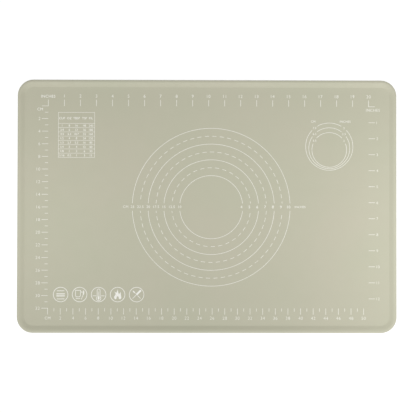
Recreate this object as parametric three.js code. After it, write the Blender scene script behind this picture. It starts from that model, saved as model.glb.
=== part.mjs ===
// Silicone pastry mat: one moulded sheet with a raised spill rim, and the white guide marks printed on it.
// Millimetres, +Z up. The origin is the middle of the underside, and the inch ruler runs along the +Y edge.

import * as THREE from "three";

// Moulded sheet
const MAT_LENGTH = 600;
const MAT_WIDTH = 400;
const CORNER_RADIUS = 25;
const SHEET_THICKNESS = 1;

// Raised rim: widths are measured inwards from the mat's edge
const RIM_RISE = 2.5; // crest above the working face
const RIM_CREST_INSET = 3; // edge to crest
const RIM_FLANK_WIDTH = 8.7; // crest to foot
const RIM_CREST_BLEND = 2.6; // how far the crest stays nearly level before the flank falls
const RIM_FOOT_BLEND = 1.4; // length of the soft run-out at the flank's foot
const OUTER_WALL_HEIGHT = 2.6; // upright part of the edge, above the underside
const LOWER_EDGE_RADIUS = 0.5;

// Printed ink
const INK_THICKNESS = 0.1;
const LINE_WIDTH = 0.65;
const TABLE_LINE_WIDTH = 0.45;
const BADGE_LINE_WIDTH = 0.9;

// Rulers: inches along the top and right, centimetres along the left and bottom.
// They start at set margins from the left and top edges and run as far as whole units fit.
const INCH = 25.4;
const CENTIMETRE_PAIR = 20; // the left ruler ends on a numbered tick, and every second one has a number
const RULER_MARGIN_LEFT = 48.1;
const RULER_MARGIN_TOP = 41.3;
const RULER_LEAST_MARGIN_RIGHT = 40;
const RULER_LEAST_MARGIN_BOTTOM = 36;
const TICK_LENGTH = 10;

// Dough guide rings, each broken left and right by its number; the centre is measured from the mat's middle
const GUIDE_CENTRE = new THREE.Vector2(6.4, -1.2);
const GUIDE_DIAMETERS = [250, 200, 150, 100];
const GUIDE_LABEL_GAP = 12;

// Portion rings: nested, with a small step between them at the bottom
const PORTION_FROM_RIGHT_RULER = 62.5;
const PORTION_BELOW_TOP_RULER = 101; // to the bottom of the largest ring
const PORTION_BOTTOM_STEP = 2.4;
const PORTION_DIAMETERS = [75, 65, 55];
const PORTION_LABEL_OFFSET = 23.3; // how far left and right of the middle the numbers stand
const PORTION_LABEL_GAP = 10.5;

// Conversion table: one tall header row over equal rows, with no upright rules inside
const TABLE_FROM_LEFT_RULER = 16.2;
const TABLE_BELOW_TOP_RULER = 10.2;
const TABLE_WIDTH = 57.2;
const TABLE_HEADER_HEIGHT = 17.4;
const TABLE_ROW_HEIGHT = 6.75;
const TABLE_ROWS = 8;

// Round badges in a row
const BADGE_COUNT = 5;
const BADGE_FROM_LEFT_RULER = 20.5;
const BADGE_ABOVE_BOTTOM_RULER = 21.6;
const BADGE_PITCH = 30;
const BADGE_DIAMETER = 23; // at the middle of its line

// Facets
const CORNER_STEPS = 10;
const LOWER_EDGE_STEPS = 3;
const CREST_STEPS = 6;
const FLANK_STEPS = 8;
const CHORD_ERROR = 0.05; // how far a printed arc's straight steps may leave the true circle

// Sizes that follow from those above
const CREST_HEIGHT = SHEET_THICKNESS + RIM_RISE;
const RIM_WIDTH = RIM_CREST_INSET + RIM_FLANK_WIDTH;
const RULER_ROOM_X = MAT_LENGTH - RULER_MARGIN_LEFT - RULER_LEAST_MARGIN_RIGHT;
const RULER_ROOM_Y = MAT_WIDTH - RULER_MARGIN_TOP - RULER_LEAST_MARGIN_BOTTOM;
const TOP_RULER_INCHES = Math.floor(RULER_ROOM_X / INCH);
const LEFT_RULER_LENGTH = Math.floor(RULER_ROOM_Y / CENTIMETRE_PAIR) * CENTIMETRE_PAIR;
const RIGHT_RULER_INCHES = Math.floor(LEFT_RULER_LENGTH / INCH);
const LEFT_RULER_X = RULER_MARGIN_LEFT - MAT_LENGTH / 2;
const RIGHT_RULER_X = LEFT_RULER_X + TOP_RULER_INCHES * INCH;
const TOP_RULER_Y = MAT_WIDTH / 2 - RULER_MARGIN_TOP;
const BOTTOM_RULER_Y = TOP_RULER_Y - LEFT_RULER_LENGTH;

const silicone = new THREE.MeshStandardMaterial({ color: 0xbebca8, roughness: 0.62, metalness: 0 });
const ink = new THREE.MeshStandardMaterial({ color: 0xf4f3ea, roughness: 0.55, metalness: 0 });

const mat = new THREE.Group();

function addPiece(name, geometry, material, x = 0, y = 0, z = 0) {
  const mesh = new THREE.Mesh(geometry, material);
  mesh.name = name;
  mesh.position.set(x, y, z);
  mat.add(mesh);
}

// The rim's section, from the underside round the edge, over the crest and down to the working face.
// x is the distance inwards from the mat's edge and y the height above the underside.
function rimSection() {
  const lowerEdge = new THREE.EllipseCurve(
    LOWER_EDGE_RADIUS, LOWER_EDGE_RADIUS, LOWER_EDGE_RADIUS, LOWER_EDGE_RADIUS,
    -Math.PI / 2, Math.PI, true,
  );
  const outerCrest = new THREE.EllipseCurve(
    RIM_CREST_INSET, OUTER_WALL_HEIGHT, RIM_CREST_INSET, CREST_HEIGHT - OUTER_WALL_HEIGHT,
    Math.PI, Math.PI / 2, true,
  );
  const flank = new THREE.CubicBezierCurve(
    new THREE.Vector2(RIM_CREST_INSET, CREST_HEIGHT),
    new THREE.Vector2(RIM_CREST_INSET + RIM_CREST_BLEND, CREST_HEIGHT),
    new THREE.Vector2(RIM_WIDTH - RIM_FOOT_BLEND, SHEET_THICKNESS),
    new THREE.Vector2(RIM_WIDTH, SHEET_THICKNESS),
  );
  return [
    ...lowerEdge.getPoints(LOWER_EDGE_STEPS),
    ...outerCrest.getPoints(CREST_STEPS),
    ...flank.getPoints(FLANK_STEPS).slice(1),
  ];
}

// The mat's outline moved inwards by an inset: a rectangle with round corners, counter-clockwise from above.
function outline(inset) {
  const radius = CORNER_RADIUS - inset;
  const x = MAT_LENGTH / 2 - CORNER_RADIUS;
  const y = MAT_WIDTH / 2 - CORNER_RADIUS;
  const corners = [[x, y], [-x, y], [-x, -y], [x, -y]];
  return corners.flatMap(([cornerX, cornerY], quarter) => {
    const start = (quarter * Math.PI) / 2;
    const arc = new THREE.EllipseCurve(cornerX, cornerY, radius, radius, start, start + Math.PI / 2);
    return arc.getPoints(CORNER_STEPS);
  });
}

// A closed solid lofted through one outline per section point, with flat ends below and above.
function loftSheet(section) {
  const loops = section.map((point) => outline(point.x));
  const count = loops[0].length;
  const positions = loops.flatMap((loop, level) => loop.flatMap((p) => [p.x, p.y, section[level].y]));
  const triangles = [];
  for (let level = 0; level + 1 < loops.length; level += 1) {
    for (let i = 0; i < count; i += 1) {
      const here = level * count + i;
      const next = level * count + ((i + 1) % count);
      triangles.push(here, next, next + count, here, next + count, here + count);
    }
  }
  const top = (loops.length - 1) * count;
  for (const [a, b, c] of THREE.ShapeUtils.triangulateShape(loops[0], [])) {
    triangles.push(c, b, a);
  }
  for (const [a, b, c] of THREE.ShapeUtils.triangulateShape(loops.at(-1), [])) {
    triangles.push(top + a, top + b, top + c);
  }
  const geometry = new THREE.BufferGeometry();
  geometry.setAttribute("position", new THREE.Float32BufferAttribute(positions, 3));
  geometry.setIndex(triangles);
  geometry.computeVertexNormals();
  return geometry;
}

function addPrint(name, geometry, x = 0, y = 0) {
  addPiece(name, geometry, ink, x, y, SHEET_THICKNESS);
}

function inkFilm(shape, curveSegments = 1) {
  return new THREE.ExtrudeGeometry(shape, { depth: INK_THICKNESS, bevelEnabled: false, curveSegments });
}

// Half the straight steps that the chord error asks for, because an arc takes two steps per segment.
function arcSegments(radius, sweep) {
  const step = 2 * Math.acos(1 - CHORD_ERROR / radius);
  return Math.ceil(sweep / step / 2);
}

// A printed arc about the origin: a band of one line width between two angles.
function arcFilm(diameter, start, end) {
  const radius = diameter / 2;
  const shape = new THREE.Shape();
  shape.absarc(0, 0, radius + LINE_WIDTH / 2, start, end, false);
  shape.absarc(0, 0, radius - LINE_WIDTH / 2, end, start, true);
  shape.closePath();
  return inkFilm(shape, arcSegments(radius, end - start));
}

function ringFilm(diameter, lineWidth) {
  const shape = new THREE.Shape();
  const hole = new THREE.Path();
  shape.absarc(0, 0, (diameter + lineWidth) / 2, 0, 2 * Math.PI, false);
  hole.absarc(0, 0, (diameter - lineWidth) / 2, 0, 2 * Math.PI, false);
  shape.holes.push(hole);
  return inkFilm(shape, arcSegments(diameter / 2, 2 * Math.PI));
}

// Two ruler zero ticks that share a corner; the arms point along the given signs of X and Y.
function cornerFilm(signX, signY) {
  const half = LINE_WIDTH / 2;
  const shape = new THREE.Shape();
  shape.moveTo(-signX * half, -signY * half);
  shape.lineTo(signX * TICK_LENGTH, -signY * half);
  shape.lineTo(signX * TICK_LENGTH, signY * half);
  shape.lineTo(signX * half, signY * half);
  shape.lineTo(signX * half, signY * TICK_LENGTH);
  shape.lineTo(-signX * half, signY * TICK_LENGTH);
  shape.closePath();
  return inkFilm(shape);
}

function rectanglePath(path, left, right, bottom, top) {
  path.moveTo(left, bottom);
  path.lineTo(right, bottom);
  path.lineTo(right, top);
  path.lineTo(left, top);
  path.closePath();
  return path;
}

// The table's border and row rules as one film: a rectangle with one window per cell row.
function tableFilm() {
  const half = TABLE_LINE_WIDTH / 2;
  const heights = [TABLE_HEADER_HEIGHT, ...Array(TABLE_ROWS).fill(TABLE_ROW_HEIGHT)];
  const total = heights.reduce((sum, height) => sum + height, 0);
  const shape = rectanglePath(new THREE.Shape(), -half, TABLE_WIDTH + half, -total - half, half);
  let top = 0;
  for (const height of heights) {
    const bottom = top - height;
    const window = rectanglePath(new THREE.Path(), half, TABLE_WIDTH - half, bottom + half, top - half);
    shape.holes.push(window);
    top = bottom;
  }
  return inkFilm(shape);
}

function addTable() {
  const left = LEFT_RULER_X + TABLE_FROM_LEFT_RULER;
  const top = TOP_RULER_Y - TABLE_BELOW_TOP_RULER;
  addPrint("conversion_table", tableFilm(), left, top);
}

function addGuideRings() {
  for (const diameter of GUIDE_DIAMETERS) {
    const gap = GUIDE_LABEL_GAP / diameter;
    const upper = arcFilm(diameter, gap, Math.PI - gap);
    const lower = arcFilm(diameter, Math.PI + gap, 2 * Math.PI - gap);
    addPrint(`guide_ring_${diameter}_upper`, upper, GUIDE_CENTRE.x, GUIDE_CENTRE.y);
    addPrint(`guide_ring_${diameter}_lower`, lower, GUIDE_CENTRE.x, GUIDE_CENTRE.y);
  }
}

function addPortionRings() {
  const centreX = RIGHT_RULER_X - PORTION_FROM_RIGHT_RULER;
  const lowest = TOP_RULER_Y - PORTION_BELOW_TOP_RULER;
  PORTION_DIAMETERS.forEach((diameter, order) => {
    const centreY = lowest + order * PORTION_BOTTOM_STEP + diameter / 2;
    const label = Math.acos(PORTION_LABEL_OFFSET / (diameter / 2));
    const gap = PORTION_LABEL_GAP / diameter;
    const top = arcFilm(diameter, label + gap, Math.PI - label - gap);
    const bottom = arcFilm(diameter, Math.PI - label + gap, 2 * Math.PI + label - gap);
    addPrint(`portion_ring_${diameter}_top`, top, centreX, centreY);
    addPrint(`portion_ring_${diameter}_bottom`, bottom, centreX, centreY);
  });
}

function addInchRulers() {
  const upright = new THREE.BoxGeometry(LINE_WIDTH, TICK_LENGTH, INK_THICKNESS);
  const level = new THREE.BoxGeometry(TICK_LENGTH, LINE_WIDTH, INK_THICKNESS);
  upright.translate(0, TICK_LENGTH / 2, INK_THICKNESS / 2);
  level.translate(TICK_LENGTH / 2, 0, INK_THICKNESS / 2);
  for (let inch = 1; inch < TOP_RULER_INCHES; inch += 1) {
    addPrint(`inch_tick_top_${inch}`, upright, LEFT_RULER_X + inch * INCH, TOP_RULER_Y);
  }
  for (let inch = 1; inch <= RIGHT_RULER_INCHES; inch += 1) {
    addPrint(`inch_tick_right_${inch}`, level, RIGHT_RULER_X, TOP_RULER_Y - inch * INCH);
  }
}

function addCornerMarks() {
  addPrint("corner_mark_top_left", cornerFilm(-1, 1), LEFT_RULER_X, TOP_RULER_Y);
  addPrint("corner_mark_top_right", cornerFilm(1, 1), RIGHT_RULER_X, TOP_RULER_Y);
  addPrint("corner_mark_bottom_left", cornerFilm(-1, -1), LEFT_RULER_X, BOTTOM_RULER_Y);
}

function addBadges() {
  const ring = ringFilm(BADGE_DIAMETER, BADGE_LINE_WIDTH);
  const firstX = LEFT_RULER_X + BADGE_FROM_LEFT_RULER;
  const rowY = BOTTOM_RULER_Y + BADGE_ABOVE_BOTTOM_RULER;
  for (let badge = 0; badge < BADGE_COUNT; badge += 1) {
    addPrint(`badge_ring_${badge + 1}`, ring, firstX + badge * BADGE_PITCH, rowY);
  }
}

addPiece("mat_sheet", loftSheet(rimSection()), silicone);
addGuideRings();
addPortionRings();
addInchRulers();
addCornerMarks();
addTable();
addBadges();

export default mat;
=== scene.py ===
"""Silicone pastry mat: the moulded sheet's finish and the white print on its working face.

Lengths are metres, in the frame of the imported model: +X along the long side, +Y towards the top inch
ruler, +Z up, with the underside on z = 0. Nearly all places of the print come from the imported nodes.
"""

import functools
import math
from fractions import Fraction

import bmesh
import bpy
import numpy as np
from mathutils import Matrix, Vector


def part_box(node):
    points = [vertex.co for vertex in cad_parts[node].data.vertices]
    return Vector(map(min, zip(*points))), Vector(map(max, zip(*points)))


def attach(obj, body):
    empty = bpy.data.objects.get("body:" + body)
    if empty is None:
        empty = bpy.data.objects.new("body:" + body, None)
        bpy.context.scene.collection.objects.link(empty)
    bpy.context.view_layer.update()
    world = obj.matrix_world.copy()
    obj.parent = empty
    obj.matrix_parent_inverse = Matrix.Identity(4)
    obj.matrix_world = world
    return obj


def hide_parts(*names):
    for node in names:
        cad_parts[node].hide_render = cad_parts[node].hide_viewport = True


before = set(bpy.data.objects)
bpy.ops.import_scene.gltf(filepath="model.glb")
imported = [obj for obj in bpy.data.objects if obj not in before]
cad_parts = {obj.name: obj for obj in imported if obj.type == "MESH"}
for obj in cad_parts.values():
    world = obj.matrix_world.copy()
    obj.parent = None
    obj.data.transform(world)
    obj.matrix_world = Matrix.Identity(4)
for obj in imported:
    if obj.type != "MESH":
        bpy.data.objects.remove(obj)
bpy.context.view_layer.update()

MM = 0.001

# Rim section of the moulded sheet: widths run inwards from the mat's edge, heights up from the underside
CORNER_RADIUS = 25 * MM
CREST_INSET = 3 * MM
FLANK_WIDTH = 8.7 * MM
CREST_BLEND = 2.6 * MM
FOOT_BLEND = 1.4 * MM
OUTER_WALL_HEIGHT = 2.6 * MM
LOWER_EDGE_RADIUS = 0.5 * MM

# Fineness of the sheet's surface
CORNER_STEPS = 24
STRAIGHT_STEP = 12.5 * MM
LOWER_EDGE_STEPS = 6
CREST_STEPS = 14
FLANK_STEPS = 24
UNDERSIDE_RINGS = 8
FACE_RINGS = 16

# Ink: the film's section has small sloping shoulders, where the wet ink drew back at its edges
INK_SHOULDER = 0.07 * MM
WIDEST_SHOULDER = 0.25  # share of the film's width that a shoulder may take
SHOULDER_START = 0.45  # share of the film's height at which the shoulder begins
ARC_STEP = 1.2 * MM

# Lettering: strokes are thinned or thickened by moving the letters' outlines, in shares of the type size
FONT_FIGURE = 0.7  # height of the built-in font's figures at type size 1
LETTER_STEPS = 4
LETTER_WELD = 0.012  # points of an outline that are nearer than this become one
LETTER_SPACING = 1.08
LIGHT = -0.013
MEDIUM = -0.006
REGULAR = 0.0
BOLD = 0.008

# Rulers
INCH = 25.4 * MM
CENTIMETRE = 10 * MM
MINOR_TICK = 5 * MM
LAST_BOTTOM_CENTIMETRE = 50
RULER_FIGURE = 5 * MM
RIGHT_FIGURE = 4.4 * MM
RULER_UNIT = 4.4 * MM
TOP_FIGURE_GAP = 3.4 * MM
BOTTOM_FIGURE_GAP = 3 * MM
SIDE_FIGURE_GAP = 2.5 * MM
INCH_UNIT_DROP = 0.5 * MM
LEFT_UNIT_GAP = 3 * MM
RIGHT_UNIT_SHARE = 0.7  # of a tick's length, from the ticks' inner ends

# Dough guide rings, named by their diameters in millimetres
SOLID_GUIDES = (250, 200, 150, 100)
DASHED_GUIDES = (225, 175, 125)
GUIDE_INCH = 25 * MM  # a rounded inch, by which the rings are whole inches across
GUIDE_LABEL_GAP = 12 * MM
GUIDE_FIGURE = {"left": 4 * MM, "right": 4.3 * MM}
GUIDE_UNIT = 3.4 * MM
GUIDE_FIGURE_LIFT = 0.5 * MM
GUIDE_FIGURE_SHIFT = {"left": 0.3 * MM, "right": -2.1 * MM}
GUIDE_UNIT_GAP = {"left": 10.5 * MM, "right": 7.4 * MM}
DASH_PITCH = 11.85 * MM
DASH_LENGTH = 6.6 * MM
LEAST_DASH = 2 * MM
DASH_POINTS = 3

# Portion rings, named by their diameters in millimetres
PORTION_RINGS = (75, 65, 55)
PORTION_LABEL_OFFSET = 23.3 * MM
PORTION_LABEL_GAP = 10.5 * MM
PORTION_FIGURE = 3.2 * MM
PORTION_UNIT = 3.4 * MM
PORTION_UNIT_OFFSET = 25.5 * MM
PORTION_UNIT_Y = 135 * MM

# Conversion table: each row is a share of a cup
TABLE_LINE = 0.45 * MM
TABLE_HEADER_HEIGHT = 17.4 * MM
TABLE_HEADING = 3.5 * MM
TABLE_HEADING_DROP = 0.4 * MM
TABLE_FIGURE = 3.3 * MM
TABLE_SPACING = 1
TABLE_UNITS = {"CUP": 1, "OZ": 8, "TBSP": 16, "TSP": 48, "ML": 240}
TABLE_COLUMNS = (0.1, 0.3, 0.5, 0.72, 0.9)  # middles, in shares of the table's width
CUP_SHARES = ("1", "3/4", "2/3", "1/2", "1/3", "1/4", "1/8", "1/16")

# Badges: measures of the signs are millimetres
BADGE_LINE = 0.9 * MM
SIGN_LINE = 0.45  # half width of the signs' lines
SIGN_STEP = 0.6  # along an arc
BOWL_SWELL = 0.6  # by which a spoon's bowl is wider than its handle, to each side
BOWL_STEPS = 16
FLAME_STEPS = 8  # per curve

# Finishes: colours are linear, and a pattern's scale multiplies coordinates in metres
NOISE_SPREAD = (0.3, 0.7)  # where most of a noise pattern's values lie
SILICONE_COLOURS = ((0.488, 0.487, 0.368, 1), (0.506, 0.489, 0.378, 1))
SILICONE_DRIFT_SCALE = 7
SILICONE_ROUGHNESS = (0.58, 0.68)
SILICONE_PATCH_SCALE = 60
SILICONE_GRAIN_SCALE = 1500
SILICONE_GRAIN_STRENGTH = 0.25
SILICONE_GRAIN_DEPTH = 0.03 * MM
SILICONE_SHEEN = 0.06
SILICONE_SPECULAR = 0.4
RIM_POLISH = 0.08  # by how much the crest is less rough
RIM_POLISH_START = 1 * MM  # above the working face
INK_COLOURS = ((0.84, 0.83, 0.77, 1), (0.90, 0.895, 0.84, 1))
INK_COVER_SCALE = 350
INK_ROUGHNESS = (0.5, 0.6)
INK_PATCH_SCALE = 180
SCREEN_SCALE = 1200
SCREEN_DISTORTION = 0.4
SCREEN_STRENGTH = 0.15
SCREEN_DEPTH = 0.02 * MM

# Stage
FLOOR_REACH = 4.0
FLOOR_DROP = 0.02 * MM  # below the mat's underside
FLOOR_COLOUR = (0.85, 0.85, 0.85, 1)
FLOOR_SHADE = (0.3, 0.3, 0.3, 1)
FLOOR_GLOW = 0.8
WHITE = (1, 1, 1, 1)
WORLD_STRENGTH = 0.18
KEY_ENERGY = 2.07  # watts per square metre
KEY_SPREAD = 40  # degrees
KEY_PLACE = (0, 0, 2)
KEY_TURN = (27, 0, -12)  # degrees
FILL_SIZE = 0.2
FILL_TURN = (0, 0, 0)
FILLS = {
    "left_fill": {"place": (-0.3, -0.02, 0.25), "watts": 0.133},
    "middle_fill": {"place": (0.05, 0.05, 0.25), "watts": 0.043},
    "right_fill": {"place": (0.5, -0.06, 0.4), "watts": 0.948},
}

# Photographed view: place in metres, turn in radians about X, Y and Z, lens for a 36 mm sensor
CAMERA_PLACE = (-0.0238, -0.0337, 2.0)
CAMERA_TURN = (0.01674, -0.01139, 0.00165)
CAMERA_LENS = 110.02
SENSOR_WIDTH = 36

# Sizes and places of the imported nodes
sheet_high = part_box("mat_sheet")[1]
ink_low, ink_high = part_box("conversion_table")
tick_low, tick_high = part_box("inch_tick_top_1")
FACE = ink_low.z
INK_THICKNESS = ink_high.z - ink_low.z
LINE = tick_high.x - tick_low.x
TICK = tick_high.y - tick_low.y
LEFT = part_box("corner_mark_top_left")[1].x - LINE / 2
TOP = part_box("corner_mark_top_left")[0].y + LINE / 2
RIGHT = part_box("corner_mark_top_right")[0].x + LINE / 2
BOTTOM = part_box("corner_mark_bottom_left")[1].y - LINE / 2


def add_piece(name, parts, material, smooth=False, replaced=None):
    """Joins parts, each (vertices, groups of faces), into one piece that rides on the mat."""
    vertices = np.concatenate([points for points, groups in parts])
    faces = []
    start = 0
    for points, groups in parts:
        for group in groups:
            faces += (group + start).tolist()
        start += len(points)
    mesh = bpy.data.meshes.new(name)
    mesh.from_pydata(vertices.tolist(), [], faces)
    if smooth:
        mesh.shade_smooth()
    else:
        mesh.shade_flat()
    mesh.materials.append(material)
    piece = bpy.data.objects.new(name, mesh)
    bpy.context.scene.collection.objects.link(piece)
    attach(piece, "root")
    if replaced:
        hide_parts(replaced)


def print_piece(name, parts, replaced=None):
    """Adds a piece of white ink."""
    add_piece(name, parts, ink, replaced=replaced)


def middle(low, high):
    """The point in the plane halfway between two corners of a box."""
    return np.array([(low.x + high.x) / 2, (low.y + high.y) / 2])


def cubic_weights(t):
    """Shares of a cubic Bezier curve's four controls at the parameters t."""
    return np.column_stack([(1 - t) ** 3, 3 * t * (1 - t) ** 2, 3 * t ** 2 * (1 - t), t ** 3])


# Moulded sheet

def rim_section():
    """Insets and heights of the rim's section from the underside to the working face: a quarter circle,
    an upright wall, a quarter ellipse up to the crest and a cubic Bezier curve down the flank."""
    crest_height = sheet_high.z
    turn = np.linspace(0, np.pi / 2, LOWER_EDGE_STEPS + 1)
    lower_edge = LOWER_EDGE_RADIUS * np.column_stack([1 - np.sin(turn), 1 - np.cos(turn)])
    turn = np.linspace(0, np.pi / 2, CREST_STEPS + 1)
    crest_rise = (crest_height - OUTER_WALL_HEIGHT) * np.sin(turn)
    crest = np.column_stack([CREST_INSET * (1 - np.cos(turn)), OUTER_WALL_HEIGHT + crest_rise])
    foot_inset = CREST_INSET + FLANK_WIDTH
    controls = np.array([
        [CREST_INSET, crest_height],
        [CREST_INSET + CREST_BLEND, crest_height],
        [foot_inset - FOOT_BLEND, FACE],
        [foot_inset, FACE],
    ])
    flank = cubic_weights(np.linspace(0, 1, FLANK_STEPS + 1)[1:]) @ controls
    return np.concatenate([lower_edge, crest, flank])


def outline_frame():
    """Centres c and outward directions n round the mat, counter-clockwise from above. The outline at an
    inset d is c + (corner radius - d) n: c stays put round a corner and slides along a straight side."""
    half = np.array([sheet_high.x, sheet_high.y]) - CORNER_RADIUS
    corners = half * np.array([[1, 1], [-1, 1], [-1, -1], [1, -1]])
    centres, angles = [], []
    for quarter in range(4):
        here, after = corners[quarter], corners[(quarter + 1) % 4]
        centres.append(np.repeat([here], CORNER_STEPS + 1, axis=0))
        angles.append(np.linspace(quarter, quarter + 1, CORNER_STEPS + 1) * np.pi / 2)
        count = round(np.linalg.norm(after - here) / STRAIGHT_STEP)
        share = np.linspace(0, 1, count + 1)[1:-1, None]
        centres.append(here + share * (after - here))
        angles.append(np.full(count - 1, (quarter + 1) * np.pi / 2))
    angles = np.concatenate(angles)
    return np.concatenate(centres), np.column_stack([np.cos(angles), np.sin(angles)])


def sheet_surface():
    """The sheet as one closed surface on a grid of u, round the outline, and v, along the section:
    (c(u) + (corner radius - inset(v)) n(u), height(v)). The first and last outlines shrink to a pole
    in the middle of the underside and of the working face."""
    section = rim_section()
    centres, outward = outline_frame()
    reach = (CORNER_RADIUS - section[:, 0])[:, None, None]
    outlines = centres + reach * outward
    heights = np.broadcast_to(section[:, 1, None, None], outlines.shape[:2] + (1,))
    rim = np.concatenate([outlines, heights], axis=2)
    grow = np.linspace(0, 1, UNDERSIDE_RINGS + 1)[1:-1, None, None]
    shrink = np.linspace(1, 0, FACE_RINGS + 1)[1:-1, None, None]
    flat = np.array([1, 1, 0])
    underside = rim[:1] * (flat * grow)
    face = rim[-1:] * (flat * shrink) + np.array([0, 0, FACE])
    rows = np.concatenate([underside, rim, face])
    height, around = rows.shape[:2]
    grid = np.arange(height * around).reshape(height, around)
    after = np.roll(grid, -1, axis=1)
    quads = np.stack([grid[:-1], after[:-1], after[1:], grid[1:]], axis=2).reshape(-1, 4)
    low_pole, high_pole = height * around, height * around + 1
    lower_fan = np.column_stack([np.full(around, low_pole), after[0], grid[0]])
    upper_fan = np.column_stack([np.full(around, high_pole), grid[-1], after[-1]])
    poles = np.array([[0, 0, 0], [0, 0, FACE]])
    return np.concatenate([rows.reshape(-1, 3), poles]), [quads, lower_fan, upper_fan]


# Ink films

def ribbon(left, right, closed=False):
    """Ink films between k pairs of flat edges of n points each. A film's point is
    right(i) + share(s) (left(i) - right(i)) at height face + up(s), where s runs round a six-sided
    section with sloping shoulders."""
    width = np.linalg.norm(left - right, axis=2)
    inset = np.minimum(INK_SHOULDER / width, WIDEST_SHOULDER)
    none, whole = np.zeros_like(inset), np.ones_like(inset)
    share = np.stack([whole, none, none, inset, 1 - inset, whole], axis=2)
    up = INK_THICKNESS * np.array([0, 0, SHOULDER_START, 1, 1, SHOULDER_START])
    flat = right[:, :, None] + share[..., None] * (left - right)[:, :, None]
    heights = np.broadcast_to(FACE + up, share.shape)[..., None]
    vertices = np.concatenate([flat, heights], axis=3).reshape(-1, 3)
    grid = np.arange(share.size).reshape(share.shape)
    here = grid if closed else grid[:, :-1]
    there = np.roll(grid, -1, axis=1) if closed else grid[:, 1:]
    walls = np.stack([here, there, np.roll(there, -1, axis=2), np.roll(here, -1, axis=2)], axis=3)
    groups = [walls.reshape(-1, 4)]
    if not closed:
        groups += [grid[:, 0], grid[:, -1, ::-1]]
    return vertices, groups


def film(paths, half_width, closed=False):
    """Ink films along k flat paths of n points each. Their edges are path(i) +- half width side(i), where
    side(i) is the mitred left normal 2 (a + b) / |a + b|^2 for the unit normals a and b of the steps
    before and after i."""
    if closed:
        after = np.roll(paths, -1, axis=1) - paths
        before = np.roll(after, 1, axis=1)
    else:
        steps = np.diff(paths, axis=1)
        after = np.concatenate([steps, steps[:, -1:]], axis=1)
        before = np.concatenate([steps[:, :1], steps], axis=1)
    side = sum(
        np.stack([-step[..., 1], step[..., 0]], axis=2) / np.linalg.norm(step, axis=2, keepdims=True)
        for step in (before, after)
    )
    side *= 2 / np.sum(side ** 2, axis=2, keepdims=True)
    reach = np.broadcast_to(half_width, paths.shape[:2])[..., None] * side
    return ribbon(paths + reach, paths - reach, closed)


def arc(centre, radius, start, end, step=ARC_STEP):
    """Points of a circular arc: centre + radius (cos a, sin a) with a from start to end."""
    angles = np.linspace(start, end, math.ceil(abs(end - start) * radius / step) + 1)
    return centre + radius * np.column_stack([np.cos(angles), np.sin(angles)])


def print_ring_part(node, path):
    """Adds a finer film along the path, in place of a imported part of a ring."""
    print_piece(f"printed_{node}", [film(path[None], LINE / 2)], replaced=node)


# Figures and unit words

def flat_triangles(shape):
    """Points in the plane and triangles of a flat bmesh, each triangle counter-clockwise. The bmesh is
    used up."""
    mesh = bpy.data.meshes.new("lettering")
    shape.to_mesh(mesh)
    shape.free()
    points = np.empty((len(mesh.vertices), 3))
    triangles = np.empty((len(mesh.polygons), 3), int)
    mesh.vertices.foreach_get("co", points.ravel())
    mesh.polygons.foreach_get("vertices", triangles.ravel())
    bpy.data.meshes.remove(mesh)
    points = points[:, :2]
    along, across = (points[triangles[:, corner]] - points[triangles[:, 0]] for corner in (1, 2))
    turn = along[:, 0] * across[:, 1] - along[:, 1] * across[:, 0]
    return points, np.where(turn[:, None] < 0, triangles[:, ::-1], triangles)


def outline_edges(triangles):
    """Edges that one triangle alone has, in its direction, so the filled side is on their left."""
    count = triangles.max() + 1
    edges = triangles[:, [0, 1, 1, 2, 2, 0]].reshape(-1, 2)
    forth, back = edges @ [count, 1], edges @ [1, count]
    return edges[~np.isin(forth, back)]


def font_outline(text, spacing):
    """Points and edges of the outlines of a line of text in the built-in font, at type size 1."""
    curve = bpy.data.curves.new("lettering", "FONT")
    curve.body = text
    curve.resolution_u = LETTER_STEPS
    curve.space_character = spacing
    holder = bpy.data.objects.new("lettering", curve)
    bpy.context.scene.collection.objects.link(holder)
    evaluated = holder.evaluated_get(bpy.context.evaluated_depsgraph_get())
    mesh = bpy.data.meshes.new_from_object(evaluated)
    letters = bmesh.new()
    letters.from_mesh(mesh)
    bpy.data.meshes.remove(mesh)
    bpy.data.objects.remove(holder)
    bpy.data.curves.remove(curve)
    bmesh.ops.remove_doubles(letters, verts=letters.verts, dist=LETTER_WELD)
    points, triangles = flat_triangles(letters)
    return points, outline_edges(triangles)


def fill_outline(points, outline):
    """Points and triangles of the area inside closed outlines, with a hole where one lies in another."""
    mesh = bpy.data.meshes.new("lettering")
    mesh.from_pydata(np.pad(points, ((0, 0), (0, 1))), outline, [])
    letters = bmesh.new()
    letters.from_mesh(mesh)
    bpy.data.meshes.remove(mesh)
    bmesh.ops.triangle_fill(letters, use_beauty=True, edges=letters.edges)
    return flat_triangles(letters)


@functools.cache
def lettering(text, spacing, weight):
    """Vertices and groups of faces of a line of text with its baseline along +X, one unit thick and with
    figures one unit high. Each point of the font's outline moves by the mitre
    weight 2 (a + b) / |a + b|^2, where a and b are the outward unit normals of its two edges. The moved
    outline is filled at both heights and gets upright walls."""
    points, outline = font_outline(text, spacing)
    run = points[outline[:, 1]] - points[outline[:, 0]]
    outward = np.column_stack([run[:, 1], -run[:, 0]]) / np.linalg.norm(run, axis=1, keepdims=True)
    mitre = np.zeros_like(points)
    np.add.at(mitre, outline, outward[:, None])
    mitre *= 2 / np.sum(mitre ** 2, axis=1, keepdims=True)
    points, triangles = fill_outline(points + weight * mitre, outline)
    count = len(points)
    here, there = outline_edges(triangles).T
    walls = np.column_stack([there, here, here + count, there + count])
    heights = np.repeat([1, 0], count)
    vertices = np.column_stack([np.tile(points / FONT_FIGURE, (2, 1)), heights])
    return vertices, [triangles, triangles[:, ::-1] + count, walls]


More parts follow.
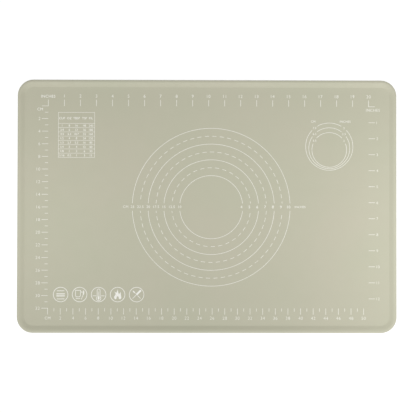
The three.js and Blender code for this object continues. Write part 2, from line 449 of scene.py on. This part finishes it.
def label(text, x, y, height, anchor="middle", spacing=LETTER_SPACING, weight=LIGHT):
    """A line of text as ink films, centred on y, with its left end, middle or right end at x."""
    vertices, groups = lettering(text, spacing, weight)
    left, right = vertices[:, 0].min(), vertices[:, 0].max()
    datum = {"left": left, "middle": (left + right) / 2, "right": right}[anchor]
    flat = (vertices[:, :2] - [datum, 0.5]) * height + [x, y]
    heights = FACE + vertices[:, 2:] * INK_THICKNESS
    return np.concatenate([flat, heights], axis=1), groups


# Rulers

def add_centimetre_ticks():
    """Ticks every centimetre down the left and along the bottom, long on the even ones."""
    down = np.arange(1, round((TOP - BOTTOM) / CENTIMETRE))
    along = np.arange(1, LAST_BOTTOM_CENTIMETRE + 1)
    for side, counts in (("left", down), ("bottom", along)):
        reach = np.where(counts % 2, MINOR_TICK, TICK)
        if side == "left":
            y = TOP - counts * CENTIMETRE
            x = np.full(len(counts), LEFT)
            ends = np.stack([x - reach, y], axis=1)
        else:
            x = LEFT + counts * CENTIMETRE
            y = np.full(len(counts), BOTTOM)
            ends = np.stack([x, y - reach], axis=1)
        starts = np.stack([x, y], axis=1)
        print_piece(f"centimetre_ticks_{side}", [film(np.stack([starts, ends], axis=1), LINE / 2)])


def add_ruler_figures():
    """A number at each inch of the top and right rulers and at each second centimetre of the left and bottom
    ones, and a unit word where each ruler starts."""
    top_y = TOP + TICK + TOP_FIGURE_GAP + RULER_FIGURE / 2
    bottom_y = BOTTOM - TICK - BOTTOM_FIGURE_GAP - RULER_FIGURE / 2
    left_x = LEFT - TICK - SIDE_FIGURE_GAP
    right_x = RIGHT + TICK + SIDE_FIGURE_GAP
    inches_along = round((RIGHT - LEFT) / INCH)
    inches_down = int((TOP - BOTTOM) / INCH)
    centimetres_down = round((TOP - BOTTOM) / CENTIMETRE)
    top = [
        label(str(count), LEFT + count * INCH, top_y, RULER_FIGURE, weight=MEDIUM)
        for count in range(1, inches_along + 1)
    ]
    right = [
        label(str(count), right_x, TOP - count * INCH, RIGHT_FIGURE, "left")
        for count in range(1, inches_down + 1)
    ]
    left = [
        label(str(count), left_x, TOP - count * CENTIMETRE, RULER_FIGURE, "right")
        for count in range(2, centimetres_down + 1, 2)
    ]
    bottom = [
        label(str(count), LEFT + count * CENTIMETRE, bottom_y, RULER_FIGURE)
        for count in range(2, LAST_BOTTOM_CENTIMETRE + 1, 2)
    ]
    unit_y = TOP - RULER_FIGURE
    left_unit_x = LEFT - TICK - LEFT_UNIT_GAP
    right_unit_x = RIGHT + TICK * RIGHT_UNIT_SHARE
    top.append(label("INCHES", LEFT, top_y - INCH_UNIT_DROP, RULER_UNIT, weight=BOLD))
    right.append(label("INCHES", right_unit_x, unit_y - INCH_UNIT_DROP, RULER_UNIT, weight=MEDIUM))
    left.append(label("CM", left_unit_x, unit_y, RULER_UNIT, weight=REGULAR))
    bottom.append(label("CM", LEFT, bottom_y, RULER_UNIT, weight=MEDIUM))
    print_piece("inch_figures_top", top)
    print_piece("inch_figures_right", right)
    print_piece("centimetre_figures_left", left)
    print_piece("centimetre_figures_bottom", bottom)


# Rings

def guide_centre():
    """Middle of the guide rings, from the two halves of the largest one."""
    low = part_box(f"guide_ring_{SOLID_GUIDES[0]}_lower")[0]
    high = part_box(f"guide_ring_{SOLID_GUIDES[0]}_upper")[1]
    return middle(low, high)


def dashed_half(centre, radius, start):
    """Half of a dashed ring, counter-clockwise from the angle start. The dashes follow at a fixed pitch, and
    the label gaps cut off those at the ends."""
    length = np.pi * radius
    middles = (np.arange(round(length / DASH_PITCH)) + 0.5) * DASH_PITCH
    begin = np.maximum(middles - DASH_LENGTH / 2, GUIDE_LABEL_GAP / 2)
    end = np.minimum(middles + DASH_LENGTH / 2, length - GUIDE_LABEL_GAP / 2)
    kept = end - begin > LEAST_DASH
    angles = start + np.linspace(begin[kept], end[kept], DASH_POINTS, axis=1) / radius
    paths = centre + radius * np.stack([np.cos(angles), np.sin(angles)], axis=2)
    return film(paths, LINE / 2)


def add_guide_rings():
    """Solid rings, each an upper and a lower arc with gaps for its numbers, and dashed rings between them."""
    centre = guide_centre()
    for diameter in SOLID_GUIDES:
        radius = diameter * MM / 2
        gap = GUIDE_LABEL_GAP / (2 * radius)
        print_ring_part(f"guide_ring_{diameter}_upper", arc(centre, radius, gap, np.pi - gap))
        print_ring_part(f"guide_ring_{diameter}_lower", arc(centre, radius, np.pi + gap, 2 * np.pi - gap))
    for diameter in DASHED_GUIDES:
        halves = [dashed_half(centre, diameter * MM / 2, start) for start in (0, np.pi)]
        print_piece(f"dashed_guide_ring_{diameter}", halves)


def add_guide_figures():
    """Each guide ring's diameter, in centimetres at its left and in inches at its right."""
    centre = guide_centre()
    y = centre[1] + GUIDE_FIGURE_LIFT
    parts = []
    for diameter in SOLID_GUIDES + DASHED_GUIDES:
        radius = diameter * MM / 2
        left_x = centre[0] - radius + GUIDE_FIGURE_SHIFT["left"]
        right_x = centre[0] + radius + GUIDE_FIGURE_SHIFT["right"]
        centimetres = diameter * MM / CENTIMETRE
        inches = diameter * MM / GUIDE_INCH
        parts.append(label(f"{centimetres:g}", left_x, y, GUIDE_FIGURE["left"], weight=REGULAR))
        parts.append(label(f"{inches:g}", right_x, y, GUIDE_FIGURE["right"], weight=BOLD))
    reach = SOLID_GUIDES[0] * MM / 2
    left_x = centre[0] - reach - GUIDE_UNIT_GAP["left"]
    right_x = centre[0] + reach + GUIDE_UNIT_GAP["right"]
    parts.append(label("CM", left_x, y, GUIDE_FIGURE["left"], weight=MEDIUM))
    parts.append(label("INCHES", right_x, y, GUIDE_UNIT, "left", weight=REGULAR))
    print_piece("guide_figures", parts)


def add_portion_rings():
    """Rings inside one another, each a top and a bottom arc with its diameter in the two gaps: centimetres at
    the left, and inches, to the nearest half, at the right."""
    parts = []
    for diameter in PORTION_RINGS:
        low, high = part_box(f"portion_ring_{diameter}_bottom")
        radius = diameter * MM / 2
        centre = np.array([(low.x + high.x) / 2, low.y + LINE / 2 + radius])
        tilt = math.acos(PORTION_LABEL_OFFSET / radius)
        gap = PORTION_LABEL_GAP / (2 * radius)
        top = arc(centre, radius, tilt + gap, np.pi - tilt - gap)
        bottom = arc(centre, radius, np.pi - tilt + gap, 2 * np.pi + tilt - gap)
        print_ring_part(f"portion_ring_{diameter}_top", top)
        print_ring_part(f"portion_ring_{diameter}_bottom", bottom)
        y = centre[1] + radius * math.sin(tilt)
        centimetres = diameter * MM / CENTIMETRE
        inches = round(diameter * MM / INCH * 2) / 2
        for side, amount in ((-1, centimetres), (1, inches)):
            x = centre[0] + side * PORTION_LABEL_OFFSET
            parts.append(label(f"{amount:g}", x, y, PORTION_FIGURE, weight=REGULAR))
    for side, word in ((-1, "CM"), (1, "INCHES")):
        x = centre[0] + side * PORTION_UNIT_OFFSET
        parts.append(label(word, x, PORTION_UNIT_Y, PORTION_UNIT, weight=REGULAR))
    print_piece("portion_figures", parts)


# Conversion table

def add_table_figures():
    """Unit words in the header row, and below them each share of a cup in those units."""
    low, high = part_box("conversion_table")
    width = high.x - low.x - TABLE_LINE
    row = (high.y - low.y - TABLE_LINE - TABLE_HEADER_HEIGHT) / len(CUP_SHARES)
    columns = low.x + TABLE_LINE / 2 + np.array(TABLE_COLUMNS) * width
    top = high.y - TABLE_LINE / 2
    heading_y = top - TABLE_HEADER_HEIGHT / 2 - TABLE_HEADING_DROP
    parts = [
        label(name, x, heading_y, TABLE_HEADING, spacing=TABLE_SPACING, weight=BOLD)
        for name, x in zip(TABLE_UNITS, columns)
    ]
    for order, share in enumerate(CUP_SHARES):
        y = top - TABLE_HEADER_HEIGHT - (order + 0.5) * row
        for per_cup, x in zip(TABLE_UNITS.values(), columns):
            amount = round(float(Fraction(share) * per_cup), 1)
            figures = share if per_cup == 1 else f"{amount:g}"
            parts.append(label(figures, x, y, TABLE_FIGURE, spacing=TABLE_SPACING, weight=BOLD))
    print_piece("table_figures", parts)


# Badges: a ring each, with a plain kitchen sign in it. Signs are drawn in millimetres from the badge's middle

def stroke(points, half_width, closed=False):
    """An ink film along one path of a sign."""
    return film(np.array(points, float)[None] * MM, np.array(half_width) * MM, closed)


def cubic_chain(controls, steps):
    """Points of a chain of cubic Bezier curves. Each has three controls, its start and two handles, and the
    last control is the end of the chain."""
    controls = np.array(controls, float)
    curves = np.concatenate([controls[:-1].reshape(-1, 3, 2), controls[3::3, None]], axis=1)
    points = cubic_weights(np.arange(steps) / steps) @ curves
    return np.concatenate([points.reshape(-1, 2), controls[-1:]])


def oven_sign():
    """Shelves of an oven: four level bars, the middle ones longer and thicker. A bar has its height in the
    badge, its half length and its half width."""
    bars = ((5.9, 5.8, 0.5), (1, 6.6, 0.75), (-2.2, 6.6, 0.75), (-6.9, 6.2, 0.5))
    return [stroke([(-reach, y), (reach, y)], half_width) for y, reach, half_width in bars]


def cup_sign():
    """A cup in outline with a handle, on its saucer, and a spoon beside it. The spoon's bowl is a quadratic
    Bezier path whose half width is its handle's plus swell sin(pi t)."""
    left_corner = arc((-4.1, -1.2), 2.4, np.pi, 1.5 * np.pi, SIGN_STEP)
    right_corner = arc((-1.1, -1.2), 2.4, 1.5 * np.pi, 2 * np.pi, SIGN_STEP)
    cup = np.concatenate([[(-6.5, 6.7)], left_corner, right_corner, [(1.3, 6.7)]])
    handle, handle_half = [(2.2, 4), (4.6, 4)], 0.7
    saucer = [(-6.2, -5.6), (-4.4, -6.4), (-0.8, -6.4), (1, -5.6)]
    t = np.linspace(0, 1, BOWL_STEPS + 1)
    shares = np.column_stack([(1 - t) ** 2, 2 * t * (1 - t), t ** 2])
    bowl = shares @ np.array([(6.2, 6.4), (6.9, 2.6), (5.3, -1)])
    spoon = np.concatenate([bowl, [(2.7, -7.6)]])
    spoon_half = np.append(SIGN_LINE + BOWL_SWELL * np.sin(np.pi * t), SIGN_LINE)
    return [
        stroke(cup, SIGN_LINE, closed=True),
        stroke(handle, handle_half),
        stroke(saucer, SIGN_LINE),
        stroke(spoon, spoon_half),
    ]


def thermometer_sign():
    """A thermometer in outline with a filled bulb and core, and a mark at both sides."""
    stem, bulb = 2.3, 3.5
    opening = math.asin(stem / bulb)
    lower = arc((0, -6.2), bulb, np.pi / 2 + opening, 2.5 * np.pi - opening, SIGN_STEP)
    cap = arc((0, 6.5), stem, 0, np.pi, SIGN_STEP)
    outline = np.concatenate([lower, cap])
    core = [(0, -8.2), (0, -7.6), (0, -6.2), (0, -4.4), (0, -3), (0, -2), (0, 5)]
    core_half = (0.5, 1.1, 1.5, 1.3, 0.9, 0.4, 0.35)
    marks = [stroke([(left, -2), (right, -2)], SIGN_LINE) for left, right in ((-9.4, -3.6), (3.6, 9.4))]
    return [stroke(outline, SIGN_LINE, closed=True), stroke(core, core_half)] + marks


def flame_sign():
    """A filled flame with three tongues, in nine cubic Bezier curves, round a gap that is open below. The
    gap's edge is a circle, at the angles of the outline's points about its middle."""
    outline = cubic_chain([
        (3.4, -7.4), (4.8, -7.2), (6, -6.2),
        (5.9, -4.4), (5.8, -2.4), (4.9, -0.5),
        (4.6, 4.5), (4, 2.8), (3, 1.2),
        (2, 0.9), (1.2, 2.6), (0.6, 5),
        (0.1, 8.7), (-0.6, 6), (-1, 4),
        (-2.3, 2.6), (-3.2, 3.2), (-4.2, 4.2),
        (-4.9, 5.2), (-4.4, 2.4), (-2.4, 1.4),
        (-3.7, -0.4), (-4.6, -1.6), (-5.7, -3),
        (-5.6, -4.8), (-5.5, -6.4), (-4.4, -7.2),
        (-3.2, -7.4),
    ], FLAME_STEPS)
    gap_middle, gap_radius = np.array([0.1, -4.6]), 1.7
    outward = outline - gap_middle
    gap = gap_middle + gap_radius * outward / np.linalg.norm(outward, axis=1, keepdims=True)
    return [ribbon(gap[None] * MM, outline[None] * MM)]


def tools_sign():
    """A broad spatula over a spoon, whose handle breaks where they cross. They lie on the diagonals, and the
    spoon's bowl has the half width of its handle plus swell sin(pi t)."""
    rising = np.array([1, 1]) / math.sqrt(2)
    falling = np.array([1, -1]) / math.sqrt(2)
    spatula = np.array([-8.8, -0.6, 0.4, 9.2, 9.6])[:, None] * rising
    spatula_half = (SIGN_LINE, SIGN_LINE, 1.5, 1.5, 1.2)
    t = np.linspace(0, 1, BOWL_STEPS + 1)
    bowl = np.append(-8.2 + 4.4 * t, -2.2)[:, None] * falling
    bowl_half = SIGN_LINE + np.append(BOWL_SWELL * np.sin(np.pi * t), 0)
    handle = np.array([2.2, 8.8])[:, None] * falling
    return [stroke(spatula, spatula_half), stroke(bowl, bowl_half), stroke(handle, SIGN_LINE)]


def add_badges():
    """A finer ring in place of each imported badge ring, and a sign in its middle."""
    signs = (oven_sign, cup_sign, thermometer_sign, flame_sign, tools_sign)
    for order, sign in enumerate(signs, start=1):
        node = f"badge_ring_{order}"
        low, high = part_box(node)
        centre = middle(low, high)
        radius = (high.x - low.x - BADGE_LINE) / 2
        circle = arc(centre, radius, 0, 2 * np.pi)[:-1]
        print_piece(f"printed_{node}", [film(circle[None], BADGE_LINE / 2, closed=True)], replaced=node)
        shift = np.append(centre, 0)
        print_piece(sign.__name__, [(vertices + shift, groups) for vertices, groups in sign()])


# Materials

def shader(name):
    """A new material, its node tree and its surface."""
    material = bpy.data.materials.new(name)
    material.use_nodes = True
    tree = material.node_tree
    return material, tree, tree.nodes["Principled BSDF"]


def noise(tree, place, scale, detail):
    """A cloudy pattern with values about one half."""
    texture = tree.nodes.new("ShaderNodeTexNoise")
    texture.inputs["Scale"].default_value = scale
    texture.inputs["Detail"].default_value = detail
    tree.links.new(place, texture.inputs["Vector"])
    return texture.outputs["Fac"]


def remap(tree, value, low, high, source=NOISE_SPREAD):
    """The value, with the range source stretched to run from low to high and held at its ends."""
    span = tree.nodes.new("ShaderNodeMapRange")
    span.inputs["From Min"].default_value = source[0]
    span.inputs["From Max"].default_value = source[1]
    span.inputs["To Min"].default_value = low
    span.inputs["To Max"].default_value = high
    tree.links.new(value, span.inputs["Value"])
    return span.outputs["Result"]


def blend(tree, share, first, second):
    """The colour that is first where share is 0 and second where it is 1."""
    mix = tree.nodes.new("ShaderNodeMix")
    mix.data_type = "RGBA"
    tree.links.new(share, mix.inputs["Factor"])
    mix.inputs["A"].default_value = first
    mix.inputs["B"].default_value = second
    return mix.outputs["Result"]


def reckon(tree, operation, first, second):
    """The result of an operation on two values."""
    step = tree.nodes.new("ShaderNodeMath")
    step.operation = operation
    tree.links.new(first, step.inputs[0])
    tree.links.new(second, step.inputs[1])
    return step.outputs["Value"]


def bumped(tree, height, strength, depth):
    """The surface's direction, turned as by a fine relief with the given heights."""
    bump = tree.nodes.new("ShaderNodeBump")
    bump.inputs["Strength"].default_value = strength
    bump.inputs["Distance"].default_value = depth
    tree.links.new(height, bump.inputs["Height"])
    return bump.outputs["Normal"]


def silicone_material():
    """Matt moulded silicone: a faint drift of colour across the sheet, fine mould grain, and a rim that
    handling has polished a little."""
    material, tree, surface = shader("sage_silicone")
    place = tree.nodes.new("ShaderNodeTexCoord").outputs["Object"]
    drift = remap(tree, noise(tree, place, SILICONE_DRIFT_SCALE, detail=2), 0, 1)
    tree.links.new(blend(tree, drift, *SILICONE_COLOURS), surface.inputs["Base Color"])
    split = tree.nodes.new("ShaderNodeSeparateXYZ")
    tree.links.new(place, split.inputs["Vector"])
    polished_heights = (FACE + RIM_POLISH_START, sheet_high.z)
    polish = remap(tree, split.outputs["Z"], 0, RIM_POLISH, source=polished_heights)
    patches = remap(tree, noise(tree, place, SILICONE_PATCH_SCALE, detail=3), *SILICONE_ROUGHNESS)
    tree.links.new(reckon(tree, "SUBTRACT", patches, polish), surface.inputs["Roughness"])
    grain = noise(tree, place, SILICONE_GRAIN_SCALE, detail=2)
    relief = bumped(tree, grain, SILICONE_GRAIN_STRENGTH, SILICONE_GRAIN_DEPTH)
    tree.links.new(relief, surface.inputs["Normal"])
    surface.inputs["Sheen Weight"].default_value = SILICONE_SHEEN
    surface.inputs["Specular IOR Level"].default_value = SILICONE_SPECULAR
    return material


def ink_material():
    """White silicone ink: slightly uneven cover, with the faint mesh of the printing screen in its skin."""
    material, tree, surface = shader("white_ink")
    place = tree.nodes.new("ShaderNodeTexCoord").outputs["Object"]
    cover = remap(tree, noise(tree, place, INK_COVER_SCALE, detail=3), 0, 1)
    tree.links.new(blend(tree, cover, *INK_COLOURS), surface.inputs["Base Color"])
    patches = remap(tree, noise(tree, place, INK_PATCH_SCALE, detail=2), *INK_ROUGHNESS)
    tree.links.new(patches, surface.inputs["Roughness"])
    threads = []
    for direction in ("X", "Y"):
        wave = tree.nodes.new("ShaderNodeTexWave")
        wave.bands_direction = direction
        wave.inputs["Scale"].default_value = SCREEN_SCALE
        wave.inputs["Distortion"].default_value = SCREEN_DISTORTION
        tree.links.new(place, wave.inputs["Vector"])
        threads.append(wave.outputs["Fac"])
    screen = reckon(tree, "MULTIPLY", *threads)
    tree.links.new(bumped(tree, screen, SCREEN_STRENGTH, SCREEN_DEPTH), surface.inputs["Normal"])
    return material


# Stage: white floor, soft light and the camera

def seen_directly(tree):
    """1 for rays that show the background: from the camera, in reflections and through clear things."""
    path = tree.nodes.new("ShaderNodeLightPath")
    total = path.outputs["Is Camera Ray"]
    for kind in ("Is Glossy Ray", "Is Transmission Ray"):
        total = reckon(tree, "MAXIMUM", total, path.outputs[kind])
    return total


def floor_material():
    """White floor: it glows white where it is seen, and adds the light that falls on it, so that the mat's
    shadow still shows. To the mat it sends back light as a plain pale floor does."""
    material = bpy.data.materials.new("white_floor")
    material.use_nodes = True
    tree = material.node_tree
    tree.nodes.clear()
    output = tree.nodes.new("ShaderNodeOutputMaterial")
    pale = tree.nodes.new("ShaderNodeBsdfDiffuse")
    pale.inputs["Color"].default_value = FLOOR_COLOUR
    shade = tree.nodes.new("ShaderNodeBsdfDiffuse")
    shade.inputs["Color"].default_value = FLOOR_SHADE
    glow = tree.nodes.new("ShaderNodeEmission")
    glow.inputs["Color"].default_value = WHITE
    glow.inputs["Strength"].default_value = FLOOR_GLOW
    backdrop = tree.nodes.new("ShaderNodeAddShader")
    tree.links.new(shade.outputs["BSDF"], backdrop.inputs[0])
    tree.links.new(glow.outputs["Emission"], backdrop.inputs[1])
    choice = tree.nodes.new("ShaderNodeMixShader")
    tree.links.new(seen_directly(tree), choice.inputs["Fac"])
    tree.links.new(pale.outputs["BSDF"], choice.inputs[1])
    tree.links.new(backdrop.outputs["Shader"], choice.inputs[2])
    tree.links.new(choice.outputs["Shader"], output.inputs["Surface"])
    return material


def add_floor():
    """A level square under the mat."""
    mesh = bpy.data.meshes.new("floor")
    corners = FLOOR_REACH * np.array([(-1, -1), (1, -1), (1, 1), (-1, 1)])
    mesh.from_pydata([(x, y, -FLOOR_DROP) for x, y in corners], [], [(0, 1, 2, 3)])
    mesh.materials.append(floor_material())
    floor = bpy.data.objects.new("floor", mesh)
    bpy.context.scene.collection.objects.link(floor)


def add_world():
    """Even light from all round, and white where the surroundings are seen."""
    world = bpy.data.worlds.new("studio")
    world.use_nodes = True
    bpy.context.scene.world = world
    tree = world.node_tree
    background = tree.nodes["Background"]
    background.inputs["Color"].default_value = WHITE
    strength = remap(tree, seen_directly(tree), WORLD_STRENGTH, 1, source=(0, 1))
    tree.links.new(strength, background.inputs["Strength"])


def add_light(lamp, place, turn):
    """Puts a lamp at a place, turned by degrees about X, Y and Z and hidden from the camera."""
    light = bpy.data.objects.new(lamp.name, lamp)
    light.location = place
    light.rotation_euler = [math.radians(angle) for angle in turn]
    light.visible_camera = False
    bpy.context.scene.collection.objects.link(light)


def add_lights():
    """A wide soft key from the front, and weak lamps over the mat's left edge, its middle and beyond its
    right edge."""
    key = bpy.data.lights.new("key", "SUN")
    key.energy = KEY_ENERGY
    key.angle = math.radians(KEY_SPREAD)
    add_light(key, KEY_PLACE, KEY_TURN)
    for name, fill in FILLS.items():
        lamp = bpy.data.lights.new(name, "AREA")
        lamp.size = FILL_SIZE
        lamp.energy = fill["watts"]
        add_light(lamp, fill["place"], FILL_TURN)


def add_camera():
    """The photographed view."""
    camera = bpy.data.cameras.new("camera")
    camera.lens = CAMERA_LENS
    camera.sensor_width = SENSOR_WIDTH
    view = bpy.data.objects.new("camera", camera)
    view.location = CAMERA_PLACE
    view.rotation_euler = CAMERA_TURN
    bpy.context.scene.collection.objects.link(view)
    bpy.context.scene.camera = view


bpy.context.scene.view_settings.view_transform = "Standard"
silicone = silicone_material()
ink = ink_material()

add_piece("silicone_mat", [sheet_surface()], silicone, smooth=True, replaced="mat_sheet")
add_centimetre_ticks()
add_ruler_figures()
add_guide_rings()
add_guide_figures()
add_portion_rings()
add_table_figures()
add_badges()
for name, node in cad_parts.items():
    if name != "mat_sheet":
        node.material_slots[0].material = ink

add_floor()
add_world()
add_lights()
add_camera()
